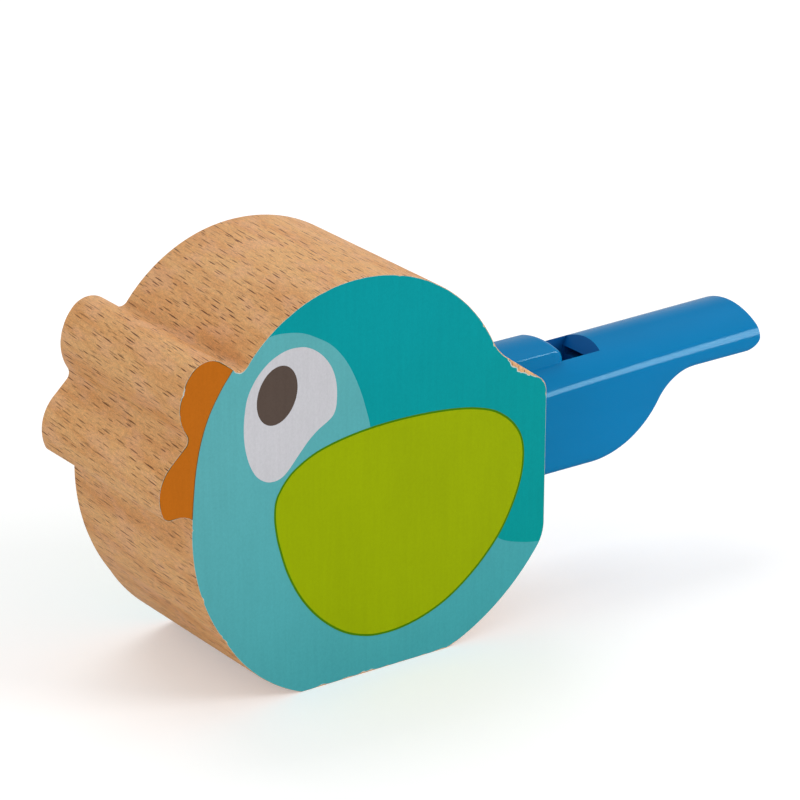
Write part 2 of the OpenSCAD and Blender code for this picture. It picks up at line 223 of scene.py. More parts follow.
class BirdCallColours(PropertyGroup):
    """Colours of the pieces"""

    beech: paint_property("Beech", "Main colour of the sanded beech", (0.865, 0.665, 0.44))
    beech_warm: paint_property("Warm beech", "Warmer bands of the beech", (0.815, 0.58, 0.35))
    beech_pink: paint_property("Pink beech", "Pinkish patches of the beech", (0.86, 0.65, 0.49))
    fleck: paint_property("Fleck", "Dark flecks of the beech", (0.33, 0.16, 0.06))
    teal: paint_property("Teal", "Print on the back, head and tail", (0.0, 0.577, 0.605))
    teal_low: paint_property("Teal, low", "The same print towards the tail", (0.0, 0.572, 0.570))
    light_blue: paint_property("Light blue", "Print on the face", (0.355, 0.665, 0.685))
    light_blue_low: paint_property("Light blue, low", "The same print on the belly", (0.262, 0.628, 0.655))
    orange: paint_property("Orange", "Print on the beak", (0.733, 0.404, 0.08))
    eye_white: paint_property("Eye white", "Print of the eye", (0.784, 0.780, 0.80))
    pupil: paint_property("Pupil", "Print of the pupil", (0.325, 0.274, 0.247))
    primer: paint_property("Primer", "Pale line along the print's broken edge", (0.74, 0.80, 0.78))
    lime: paint_property("Lime", "Print on the wing", (0.584, 0.655, 0.0))
    wing_green: paint_property("Wing green", "Line round the wing", (0.27, 0.47, 0.0))
    beak_brown: paint_property("Beak brown", "Dark lines round the beak's print", (0.47, 0.33, 0.12))
    blue_plastic: paint_property("Blue plastic", "Whistle and slide tube", (0.0, 0.475, 0.70))
    # The inner blue is darker than the blue plastic as painted shade in the window, on the tongue and on the
    # windway block; its rougher gloss is the unpolished inside
    shaded_inner_blue: paint_property("Blue plastic, inside", "Unpolished inside of the whistle", (0.0, 0.36, 0.64))
    # The bore blue is near black as painted shade deep in the bore
    painted_bore_shade: paint_property("Blue plastic, bore", "Deep inside of the whistle's bore", (0.0, 0.10, 0.24))
    plastic_gloss: paint_property("Plastic gloss", "Tint of the blue plastic's gloss", (0.78, 0.97, 1.0))
    white_plastic: paint_property("White plastic", "Sleeve, bush and piston", (0.88, 0.88, 0.86))
    rubber: paint_property("Rubber", "Sealing ring", (0.07, 0.07, 0.08))
    steel: paint_property("Steel", "Rod and screw", (0.72, 0.73, 0.74))
    floor: paint_property("Floor", "Studio floor", (0.92, 0.92, 0.92))


class BirdCallStudio(PropertyGroup):
    """Light of the plain studio"""

    room: FloatProperty(
        name="Room light", description="Strength of the light from all round",
        default=0.57, min=0.0, max=2.0)
    key_box: power_property("Key softbox", "Power of the softbox on the right", 4.3)
    gloss_card: power_property(
        "Gloss card", "Power of the wide card on the right that only glossy surfaces show", 38.0)
    top_box: power_property("Top softbox", "Power of the softbox above and behind", 2.7)
    fill_box: power_property("Fill softbox", "Power of the low softbox on the left", 1.7)
    floor_glow: FloatProperty(
        name="Floor glow", description="Plain white added to the floor that the camera sees",
        default=0.31, min=0.0, max=1.0, subtype="FACTOR")


def paint(colour):
    """Linear RGBA of a colour that is written as a screen shows it"""
    linear = Color(colour).from_srgb_to_scene_linear()
    return (linear.r, linear.g, linear.b, 1.0)


# Outlines


def arc_points(start, end, bulge, step):
    """Points of the arc from start to just before end, no more than step apart, as in the part's source"""
    start, end = Vector(start), Vector(end)
    chord = end - start
    if bulge == 0:
        count = max(1, math.ceil(chord.length / step))
        return [start + chord * (i / count) for i in range(count)]
    half = chord.length / 2
    radius = half * (1 + bulge * bulge) / (2 * abs(bulge))
    turn = 4 * math.atan(bulge)
    count = max(1, math.ceil(radius * abs(turn) / step))
    along = chord.normalized()
    inward = Vector((-along.y, along.x))
    centre = (start + end) / 2 + inward * math.copysign(radius - half * abs(bulge), bulge)
    arm = start - centre
    points = []
    for i in range(count):
        angle = turn * i / count
        points.append(centre + Matrix.Rotation(angle, 2) @ arm)
    return points


def bird_outline(step):
    """The block's outline in X and Z, anticlockwise, in metres"""
    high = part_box("wood_body")[1]
    length = high.x / TAIL_SHARE
    corners = [(x * length, z * high.z, bulge) for x, z, bulge in BIRD_SHARES]
    points = []
    for i, (x, z, bulge) in enumerate(corners):
        following = corners[(i + 1) % len(corners)]
        points.extend(arc_points((x, z), following[:2], bulge, step))
    return points


def outward_normals(points):
    """Unit normals that point out of a closed anticlockwise outline"""
    normals = []
    for i, point in enumerate(points):
        before = (point - points[i - 1]).normalized()
        after = (points[(i + 1) % len(points)] - point).normalized()
        along = (before + after).normalized()
        normals.append(Vector((along.y, -along.x)))
    return normals


def smooth_curve(points, closed, parts=8):
    """A smooth curve through the points of a drawing"""
    points = [Vector(point) for point in points]
    count = len(points)
    curve = []
    for i in range(count if closed else count - 1):
        p1 = points[i]
        p2 = points[(i + 1) % count]
        p0 = points[i - 1] if closed or i > 0 else p1 * 2 - p2
        p3 = points[(i + 2) % count] if closed or i + 2 < count else p2 * 2 - p1
        for k in range(parts):
            t = k / parts
            curve.append(0.5 * (
                2 * p1 + (p2 - p0) * t + (2 * p0 - 5 * p1 + 4 * p2 - p3) * t ** 2
                + (3 * p1 - p0 - 3 * p2 + p3) * t ** 3))
    if not closed:
        curve.append(points[-1])
    return curve


def moved_out(loop, distance):
    """A closed anticlockwise loop, moved out by a distance"""
    return [point + normal * distance for point, normal in zip(loop, outward_normals(loop))]


def anticlockwise(loop):
    """The loop in anticlockwise order"""
    area = sum(loop[i - 1].cross(point) for i, point in enumerate(loop))
    return loop if area > 0 else loop[::-1]


def inside(points, loop):
    """Which of the points lie inside a closed loop"""
    points = np.asarray(points)
    found = np.zeros(len(points), bool)
    for i, (x1, y1) in enumerate(loop):
        x0, y0 = loop[i - 1]
        if y0 == y1:
            continue
        crosses = (y0 > points[:, 1]) != (y1 > points[:, 1])
        at = x0 + (points[:, 1] - y0) * (x1 - x0) / (y1 - y0)
        found ^= crosses & (points[:, 0] < at)
    return found


# Wear


def bump_at(value, centre, width):
    """1 at the centre, falling smoothly to 0 at half the width on either side"""
    return smooth_step(1.0, 0.0, abs(value - centre) * 2 / width)


def wear_along(points, side):
    """Wear of the block's edge at each outline point, as a share of the widest chip"""
    wear = []
    for point in points:
        x, z = point.x / MM, point.y / MM
        shelf = 0.0
        if z > 37.5 and x > 20.0:
            chip = smooth_step(26.2, 28.8, x) * smooth_step(33.4, 29.4, x)
            shelf = max(0.8 * chip, 0.06 * smooth_step(20.5, 23.0, x))
        dome = smooth_step(5.0, 9.0, x) * smooth_step(45.0, 50.0, z) * 0.05
        crown = bump_at(x, -9.0, 9.0) * smooth_step(52.0, 56.0, z) * 0.18
        foot = smooth_step(1.0, 0.2, z) * 0.2
        notch = bump_at(x, -20.5, 4.0) * smooth_step(48.0, 52.0, z) * 0.25
        beak = bump_at(x, -31.0, 3.5) * smooth_step(49.0, 52.0, z) * 0.3
        here = Vector((x, z, side * 9.0))
        patches = smooth_step(-0.15, 0.45, noise.noise(here * 0.35))
        ragged = 0.8 + 0.5 * noise.noise(here * 1.1) + 0.4 * noise.noise(here * 3.1)
        specks = smooth_step(0.36, 0.55, noise.noise(here * 0.9 + Vector((7.0, 3.0, 1.0)))) * 0.12
        amount = max(shelf, dome * patches, crown * patches, foot * patches, notch, beak) * max(ragged, 0.1)
        wear.append(min(max(amount + specks, 0.0), 1.0))
    return wear


def smooth_step(low, high, value):
    """0 before low, 1 after high and smooth between them"""
    t = min(max((value - low) / (high - low), 0.0), 1.0)
    return t * t * (3 - 2 * t)


# Meshes


def new_piece(name, vertices, faces, material):
    """A mesh object of the bird call"""
    mesh = bpy.data.meshes.new(name)
    mesh.from_pydata(vertices, [], faces)
    mesh.validate()
    mesh.materials.append(material)
    piece = bpy.data.objects.new(name, mesh)
    bpy.context.scene.collection.objects.link(piece)
    return piece


def applied(piece):
    """Keeps the result of a piece's modifiers as its mesh"""
    depsgraph = bpy.context.evaluated_depsgraph_get()
    mesh = bpy.data.meshes.new_from_object(piece.evaluated_get(depsgraph))
    piece.modifiers.clear()
    old = piece.data
    piece.data = mesh
    bpy.data.meshes.remove(old)


def block_mesh(sizes, material):
    """The beech block, with eased and chipped edges and a map of its grain"""
    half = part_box("wood_body")[1].y
    points = bird_outline(BLOCK_STEP)
    normals = outward_normals(points)
    count = len(points)
    eased = 4
    rim = 10
    chips = {side: wear_along(points, side) for side in (-1, 1)}
    profile = [(-1, 90 - 90 * k / eased) for k in range(eased + 1)]
    profile += [(0, k / rim) for k in range(1, rim)]
    profile += [(1, 90 * k / eased) for k in range(eased + 1)]
    rounding = {
        side: [sizes.block_edge + wear * sizes.edge_wear * CHIP_ROUNDING for wear in chips[side]]
        for side in (-1, 1)}
    vertices = []
    for side, step in profile:
        for i, (point, normal) in enumerate(zip(points, normals)):
            if side == 0:
                near = -half + rounding[-1][i]
                far = half - rounding[1][i]
                y = near + (far - near) * step
                place = point
            else:
                radius = rounding[side][i]
                angle = math.radians(step)
                place = point - normal * radius * (1 - math.cos(angle))
                y = side * (half - radius * (1 - math.sin(angle)))
            vertices.append((place.x, y, max(place.y, 0.0)))
    rows = len(profile)
    faces = []
    for row in range(rows - 1):
        for i in range(count):
            k = (i + 1) % count
            faces.append((row * count + i, row * count + k, (row + 1) * count + k, (row + 1) * count + i))
    faces.append(tuple(range(count - 1, -1, -1)))
    faces.append(tuple(range((rows - 1) * count, rows * count)))
    piece = new_piece("beech_block", vertices, faces, material)
    mesh = piece.data
    travelled = [0.0]
    for i in range(count):
        travelled.append(travelled[-1] + (points[(i + 1) % count] - points[i]).length)
    grain = mesh.uv_layers.new(name="grain")
    for face in mesh.polygons:
        for corner in face.loop_indices:
            vertex = mesh.loops[corner].vertex_index
            place = mesh.vertices[vertex].co
            if len(face.vertices) > 4:
                grain.data[corner].uv = (place.x / MM + FACE_SHIFT, place.z / MM)
            else:
                i = vertex % count
                last = i == 0 and face.index % count == count - 1
                along = travelled[count] if last else travelled[i]
                grain.data[corner].uv = (along / MM, place.y / MM)
    return piece


def bar_tool(start, end, radius, material):
    """A round bar on the bore's axis, from start to end along X in metres, for cutting"""
    tool = bmesh.new()
    bmesh.ops.create_cone(
        tool, cap_ends=True, segments=128, radius1=radius, radius2=radius, depth=end - start,
        matrix=Matrix.Translation(((start + end) / 2, 0, BORE_Z)) @ Matrix.Rotation(math.pi / 2, 4, "Y"))
    piece = new_piece("bar_tool", [], [], material)
    tool.to_mesh(piece.data)
    tool.free()
    return piece


def slab(name, corners, width, material):
    """A side view of the whistle, drawn in millimetres, as a slab of the given width across Y"""
    return loft(name, [[(x, side * width / 2, z) for x, z in corners] for side in (-1, 1)], material)


def loft(name, rows, material):
    """A closed form through rows of as many points, each point in millimetres of the whistle's drawing"""
    count = len(rows[0])
    last = (len(rows) - 1) * count
    vertices = [(WHISTLE_X + x * MM, y * MM, BORE_Z + z * MM) for row in rows for x, y, z in row]
    faces = [tuple(range(count - 1, -1, -1)), tuple(range(last, last + count))]
    for i in range(len(rows) - 1):
        for j in range(count):
            k = (j + 1) % count
            faces.append((i * count + j, i * count + k, (i + 1) * count + k, (i + 1) * count + j))
    piece = new_piece(name, vertices, faces, material)
    face_out(piece)
    return piece


def face_out(piece):
    """Turns every face of a closed piece outward"""
    mesh = bmesh.new()
    mesh.from_mesh(piece.data)
    bmesh.ops.recalc_face_normals(mesh, faces=mesh.faces)
    mesh.to_mesh(piece.data)
    mesh.free()


def cut_away(piece, tools):
    """Cuts the tools out of a piece, whose cut faces take the tools' finish, and shades it smooth"""
    for tool in tools:
        cut = piece.modifiers.new("cut", "BOOLEAN")
        cut.operation = "DIFFERENCE"
        cut.solver = "EXACT"
        cut.material_mode = "TRANSFER"
        cut.object = tool
    applied(piece)
    for tool in tools:
        bpy.data.objects.remove(tool)
    piece.data.shade_smooth()
    piece.data.set_sharp_from_angle(angle=SHARP_ANGLE)


def underside_line(rounding):
    """Side view of the whistle's underside, from its shoulder to the mouth end, with a rounded lower lip"""
    turn = (
        BELLY[0] + (MOUTH_START[0] - BELLY[0]) * TURN_SHARES[0],
        BELLY[1] + (MOUTH_START[1] - BELLY[1]) * TURN_SHARES[1])
    line = [Vector((BELLY[0] * i / 8, BELLY[1])) for i in range(8)]
    line += arc_points(BELLY, turn, UNDERSIDE_BULGES[0], 0.6)
    line += arc_points(turn, MOUTH_START, UNDERSIDE_BULGES[1], 0.6)
    flat = WHISTLE_LENGTH - rounding - MOUTH_START[0]
    line += [Vector((MOUTH_START[0] + flat * i / 6, MOUTH_START[1])) for i in range(6)]
    for i in range(11):
        angle = math.pi / 2 * i / 10
        line.append(Vector((
            WHISTLE_LENGTH - rounding * (1 - math.sin(angle)),
            MOUTH_START[1] + rounding * (1 - math.cos(angle)))))
    return line


def arched_side(half, crown, radius, rounding, brow_steps, arch_steps):
    """Right side of an arched top, from the foot of its rounded brow to just before its crown"""
    centre = crown - radius
    inner = half - rounding
    brow = centre + math.sqrt((radius - rounding) ** 2 - inner ** 2)
    turn = math.atan2(brow - centre, inner)
    side = []
    for i in range(brow_steps):
        angle = turn * i / brow_steps
        side.append((inner + rounding * math.cos(angle), brow + rounding * math.sin(angle)))
    for i in range(arch_steps):
        angle = turn + (math.pi / 2 - turn) * i / arch_steps
        side.append((radius * math.cos(angle), centre + radius * math.sin(angle)))
    return side


def mirrored_row(x, right, crown):
    """A cross-section at x, from its right side, its crown and the same side mirrored"""
    row = [*right, (0.0, crown), *((-y, z) for y, z in reversed(right))]
    return [(x, y, z) for y, z in row]


def whistle_row(x, low):
    """Cross-section of the whistle at x, whose underside is at the height low"""
    crown, radius, rounding = (
        near + (far - near) * x / WHISTLE_LENGTH for near, far in (CROWN, ARCH_RADIUS, BROW_RADIUS))
    side = arched_side(WHISTLE_HALF, crown, radius, rounding, 14, 28)
    hem = min(HEM_RADIUS, HEM_SHARE * (side[0][1] - low))
    right = []
    for i in range(9):
        angle = math.pi / 2 * i / 8
        right.append((WHISTLE_HALF - hem * (1 - math.sin(angle)), low + hem * (1 - math.cos(angle))))
    return mirrored_row(x, right + side, crown)


def cap_row(x, crown, radius, half, shoulder):
    """Cross-section of the cap's head at x, with an arched crown and rounded shoulders"""
    return mirrored_row(x, [(half, CAP_SEAT), *arched_side(half, crown, radius, shoulder, 8, 12)], crown)


def bore_tools(material):
    """Bars that cut the slide tube's socket and the air's way from the tube to the window's foot"""
    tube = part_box("slide_tube")[1]
    start = WHISTLE_X - CUT_OVER * MM
    return [
        bar_tool(start, tube.x + BORE_GAP * MM, tube.y + BORE_GAP * MM, material),
        bar_tool(start, WHISTLE_X + WINDOW_FOOT * MM, AIR_RADIUS * MM, material)]


def shell_piece(sizes, polished, inside, deep):
    """The whistle's moulded shell, with its bore, its slot and window, and its windway"""
    rows = [whistle_row(point.x, point.y) for point in underside_line(sizes.lip_rounding / MM)]
    piece = loft("whistle_moulding", rows, polished)
    slot = (
        (-CUT_OVER, 0), (WINDOW_FOOT, 0), (WINDOW_FOOT, WINDWAY_TOP), (WINDOW_END, CROWN[1]),
        (WINDOW_END, CROWN[1] + CUT_OVER), (-CUT_OVER, CROWN[1] + CUT_OVER))
    windway = (
        (WINDOW_FOOT - CUT_OVER, WINDWAY_FOOT), (WHISTLE_LENGTH + CUT_OVER, WINDWAY_FOOT),
        (WHISTLE_LENGTH + CUT_OVER, WINDWAY_TOP), (WINDOW_FOOT - CUT_OVER, WINDWAY_TOP))
    # The window's and the windway's cut faces take the inner blue and the bore's cut faces take the bore
    # blue, both painted shade
    cut_away(piece, [
        slab("slot_tool", slot, WINDOW_WIDTH, inside), slab("windway_tool", windway, WINDWAY_WIDTH, inside),
        *bore_tools(deep)])
    return piece


def cap_pieces(sizes, polished, inside):
    """The cap's head, with its rounded end at the window, and the tongue that carries the sounding edge"""
    crown, radius, rounding = sizes.cap_rise / MM, sizes.cap_arch / MM, sizes.cap_rounding / MM
    rows = [cap_row(0.0, crown, radius, CAP_HALF, CAP_SHOULDER[0])]
    for i in range(13):
        angle = math.pi / 2 * i / 12
        inset = rounding * (1 - math.cos(angle))
        rows.append(cap_row(
            WINDOW_START - rounding * (1 - math.sin(angle)), crown - inset, radius,
            CAP_HALF - CAP_NARROWING * inset,
            CAP_SHOULDER[0] + (CAP_SHOULDER[1] - CAP_SHOULDER[0]) * math.sin(angle)))
    head = loft("cap_head", rows, polished)
    head.data.shade_smooth()
    head.data.set_sharp_from_angle(angle=math.radians(40))
    outline = (
        (0, TONGUE_FOOT), (UNDERCUT[0][0], TONGUE_FOOT), *UNDERCUT,
        (UNDERCUT[1][0], CAP_SEAT + CAP_OVERLAP), (0, CAP_SEAT + CAP_OVERLAP))
    # The tongue takes the darker inner blue, which is painted shade in the window
    tongue = slab("cap_tongue", outline, WINDOW_WIDTH - TONGUE_GAP, inside)
    cut_away(tongue, bore_tools(inside))
    return head, tongue


def face_zones(outline, wear, sizes):
    """The print's zones on a face, from the top down: each one's name and the closed loops it lies within"""
    pupil = []
    lean = Matrix.Rotation(math.radians(-PUPIL_LEAN), 2)
    for i in range(72):
        turn = 2 * math.pi * i / 72
        arm = Vector((PUPIL_RADII[0] * math.cos(turn), PUPIL_RADII[1] * math.sin(turn)))
        pupil.append(Vector(PUPIL_CENTRE) + lean @ arm)
    wing = anticlockwise(smooth_curve(WING, True))
    eye = anticlockwise(smooth_curve(EYE_WHITE, True))
    beak = smooth_curve(BEAK_LINE, False)
    beak_zone = [*beak, Vector((-50.0, 26.0)), Vector((-50.0, 60.0))]
    lap = [point + Vector((sizes.beak_line / MM, 0.0)) for point in beak]
    lap_zone = [*beak, *reversed(lap)]
    within = []
    whole = []
    for point, normal, worn in zip(outline, outward_normals(outline), wear):
        uneven = 0.75 + 0.9 * noise.noise(Vector((point.x, point.y, 5.0)) * 0.5)
        within.append(point - normal * sizes.beak_line / MM * min(max(uneven, 0.15), 1.4))
        patchy = smooth_step(-0.4, 0.3, noise.noise(Vector((point.x, point.y, 9.0)) * 1.7))
        broken = smooth_step(0.04, 0.25, worn) * (0.3 + 0.7 * patchy)
        whole.append(point - normal * (PRIMER_SHOWS + sizes.primer_line / MM * broken))
    head = smooth_curve(HEAD_LINE, False)
    tail = smooth_curve(TAIL_LINE, False)
    back_zone = [*head, *tail, Vector((50.0, 13.0)), Vector((50.0, 80.0)), Vector((-24.0, 80.0))]
    zones = [
        ("pupil", [pupil]),
        ("eye_white", [eye]),
        ("lime", [moved_out(wing, -sizes.wing_line / MM)]),
        ("wing_green", [wing]),
        ("orange", [beak_zone, within]),
        ("beak_brown", [beak_zone]),
        ("beak_brown", [lap_zone]),
        ("teal", [back_zone]),
        ("light_blue", [outline]),
    ]
    return [(name, [*loops, whole]) for name, loops in zones] + [("primer", [outline])]


def printed_face(side, sizes):
    """The flat print on one face: {zone: (points, triangles)} in millimetres, with shared borders"""
    points = bird_outline(PRINT_STEP)
    normals = outward_normals(points)
    wear = wear_along(points, side)
    outline = []
    for i, (point, normal) in enumerate(zip(points, normals)):
        ragged = noise.noise(Vector((point.x, point.y, 0.002 * side)) / MM * 2.3)
        loss = sizes.block_edge + wear[i] * sizes.edge_wear + RAGGED_EDGE * ragged
        outline.append((point - normal * max(loss, sizes.block_edge * 0.8)) / MM)
    zones = face_zones(outline, wear, sizes)
    places = []
    edges = []
    for name, loops in zones:
        for loop in loops:
            first = len(places)
            places.extend(loop)
            edges.extend((first + i, first + (i + 1) % len(loop)) for i in range(len(loop)))
    flat, _, triangles, _, _, _ = delaunay_2d_cdt(places, edges, [], 0, 1e-6)
    flat = np.array([tuple(place) for place in flat])
    triangles = np.array([tuple(triangle) for triangle in triangles])
    middles = flat[triangles].mean(axis=1)
    free = inside(middles, outline)
    made = {}
    for name, loops in zones:
        here = free.copy()
        for loop in loops:
            here &= inside(middles, loop)
        made[name] = np.concatenate((made[name], triangles[here])) if name in made else triangles[here]
        free &= ~here
    return flat, made


def print_meshes(sizes, inks):
    """One piece for each ink, on both faces of the block"""
    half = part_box("wood_body")[1].y
    top = half + sizes.print_film
    vertices = {name: [] for name in inks}
    faces = {name: [] for name in inks}
    for side in (-1, 1):
        flat, zones = printed_face(side, sizes)
        used = {}
        for name, triangles in zones.items():
            for triangle in triangles:
                for i in range(3):
                    a, b = int(triangle[i]), int(triangle[(i + 1) % 3])
                    used.setdefault((min(a, b), max(a, b)), []).append((name, a, b))
        rim = {}
        for owners in used.values():
            if len(owners) == 1:
                name, a, b = owners[0]
                rim.setdefault(name, []).append((a, b))
        for name, triangles in zones.items():
            index = {}
            base = len(vertices[name])
            for corner in np.unique(triangles) if len(triangles) else []:
                index[int(corner)] = base + len(index)
                x, z = flat[int(corner)]
                vertices[name].append((x * MM, side * top, z * MM))
            for triangle in triangles:
                face = [index[int(corner)] for corner in triangle]
                faces[name].append(face if side < 0 else face[::-1])
            for a, b in rim.get(name, []):
                low = len(vertices[name])
                for corner in (a, b):
                    x, z = flat[corner]
                    vertices[name].append((x * MM, side * (half - SKIRT_DEPTH), z * MM))
                skirt = [index[b], index[a], low, low + 1]
                faces[name].append(skirt if side < 0 else skirt[::-1])
    pieces = []
    for name, material in inks.items():
        pieces.append(new_piece("print_" + name, vertices[name], faces[name], material))
    return pieces


def smooth_by_angle(limit):
    """Geometry nodes that shade a CAD mesh smooth and keep edges over the limit sharp"""
    group = bpy.data.node_groups.new("smooth_by_angle", "GeometryNodeTree")
    for way in ("INPUT", "OUTPUT"):
        group.interface.new_socket("Geometry", in_out=way, socket_type="NodeSocketGeometry")
    source = add_node(group, "NodeGroupInput")
    angle = add_node(group, "GeometryNodeInputMeshEdgeAngle")
    over = add_node(
        group, "FunctionNodeCompare", {0: angle.outputs["Unsigned Angle"], 1: limit},
        operation="GREATER_THAN")
    faces = add_node(group, "GeometryNodeSetShadeSmooth", {"Geometry": source.outputs[0]}, domain="FACE")
    edges = add_node(group, "GeometryNodeSetShadeSmooth", {
        "Geometry": faces.outputs["Geometry"], "Selection": over.outputs["Result"], "Shade Smooth": False},
        domain="EDGE")
    add_node(group, "NodeGroupOutput", {0: edges.outputs["Geometry"]})
    return group


def ease_edges(piece, width):
    """Joins a moulded CAD part's facets, shades them smooth and rounds its sharp edges"""
    weld = piece.modifiers.new("weld", "WELD")
    weld.merge_threshold = 0.001 * MM
    smooth = piece.modifiers.new("smooth", "NODES")
    smooth.node_group = smooth_by_angle(SHARP_ANGLE)
    flats = piece.modifiers.new("flats", "DECIMATE")
    flats.decimate_type = "DISSOLVE"
    flats.angle_limit = math.radians(0.5)
    soften(piece, width)
    weighted = piece.modifiers.new("weighted", "WEIGHTED_NORMAL")
    weighted.keep_sharp = True
    weighted.weight = 100


def soften(piece, width):
    """Rounds the sharp edges of a moulded piece"""
    edge = piece.modifiers.new("edge", "BEVEL")
    edge.width = width
    edge.segments = 3
    edge.limit_method = "ANGLE"
    edge.angle_limit = math.radians(35)
    edge.harden_normals = True
    edge.use_clamp_overlap = True


# Materials


def add_node(tree, kind, inputs=None, **settings):
    """Adds a shader node, with its settings and its inputs as values or as links"""
    made = tree.nodes.new(kind)
    for name, value in settings.items():
        setattr(made, name, value)
    for name, value in (inputs or {}).items():
        if isinstance(value, bpy.types.NodeSocket):
            tree.links.new(value, made.inputs[name])
        else:
            made.inputs[name].default_value = value
    return made


def maths(tree, operation, first, second=0.0, third=0.0):
    """The result of one sum on a material's values"""
    return add_node(
        tree, "ShaderNodeMath", {0: first, 1: second, 2: third}, operation=operation).outputs[0]


def finish_shader(tree, shader, colour, roughness, height=None, strength=0.0, depth=0.0):
    """Links a colour, a roughness and, where there is one, a relief as deep as depth in millimetres"""
    tree.links.new(colour, shader.inputs["Base Color"])
    tree.links.new(roughness, shader.inputs["Roughness"])
    if height is not None:
        relief = {"Strength": strength, "Distance": depth * MM, "Height": height}
        bump = add_node(tree, "ShaderNodeBump", relief)
        tree.links.new(bump.outputs["Normal"], shader.inputs["Normal"])


def shaded(tree, colour, light):
    """A colour made lighter or darker by a value"""
    shade = add_node(tree, "ShaderNodeCombineColor", {0: light, 1: light, 2: light}).outputs[0]
    return mixed(tree, 1.0, colour, shade, blend="MULTIPLY")


def new_finish(name):
    """A new material, with its node tree and its shader"""
    material = bpy.data.materials.new(name)
    material.use_nodes = True
    tree = material.node_tree
    return material, tree, tree.nodes["Principled BSDF"]


def stretched_noise(tree, vector, scale, detail=2.0, roughness=0.5, offset=(0.0, 0.0, 0.0)):
    """Noise that is stretched by a scale along each axis, as a value around 0.5"""
    place = add_node(tree, "ShaderNodeMapping", {"Vector": vector, "Scale": scale, "Location": offset})
    return add_node(
        tree, "ShaderNodeTexNoise",
        {"Vector": place.outputs["Vector"], "Scale": 1.0, "Detail": detail, "Roughness": roughness},
    ).outputs["Fac"]


def ramp(tree, value, low, high, to_low=0.0, to_high=1.0, smooth=True):
    """A value brought from one range to another and held there"""
    return add_node(
        tree, "ShaderNodeMapRange", {0: value, 1: low, 2: high, 3: to_low, 4: to_high},
        interpolation_type="SMOOTHSTEP" if smooth else "LINEAR").outputs[0]


def mixed(tree, amount, first, second, blend="MIX"):
    """A colour between two colours"""
    mix = add_node(tree, "ShaderNodeMix", data_type="RGBA", blend_type=blend)
    for socket, value in ((mix.inputs[0], amount), (mix.inputs[6], first), (mix.inputs[7], second)):
        if isinstance(value, bpy.types.NodeSocket):
            tree.links.new(value, socket)
        else:
            socket.default_value = value
    return mix.outputs[2]


def grain_flecks(tree, grain, sizes, share, strength, shift):
    """One layer of dark flecks, lying singly in long cells along the grain, as a value from 0 to 1"""
    across = sizes.fleck_spacing / MM * share
    along = across * 4.4
    place = add_node(tree, "ShaderNodeMapping", {
        "Vector": grain, "Scale": (1 / across, 1 / along, 0.0), "Location": (shift, shift, 0.0)})
    cells = add_node(
        tree, "ShaderNodeTexVoronoi",
        {"Vector": place.outputs["Vector"], "Scale": 1.0, "Randomness": 1.0}, voronoi_dimensions="2D")
    offset = add_node(
        tree, "ShaderNodeVectorMath",
        {0: place.outputs["Vector"], 1: cells.outputs["Position"]}, operation="SUBTRACT").outputs[0]
    parts = add_node(tree, "ShaderNodeSeparateXYZ", {0: offset})
    chance = add_node(tree, "ShaderNodeSeparateColor", {0: cells.outputs["Color"]})
    reach = ramp(tree, chance.outputs[0], 0.0, 1.0, 0.45, 1.0, smooth=False)
    half_long = maths(tree, "MULTIPLY", reach, sizes.fleck_length / MM / along / 2 * share)
    half_wide = sizes.fleck_width / MM / across / 2 * (0.5 + 0.5 * share)
    wide = maths(tree, "ABSOLUTE", maths(tree, "DIVIDE", parts.outputs[0], half_wide))
    long = maths(tree, "DIVIDE", parts.outputs[1], half_long)
    spread = maths(tree, "ADD", wide, maths(tree, "MULTIPLY", long, long))
    depth = ramp(tree, chance.outputs[1], 0.1, 0.5, 0.25 * strength, strength, smooth=False)
    return maths(tree, "MULTIPLY", ramp(tree, spread, 1.15, 0.75), depth)


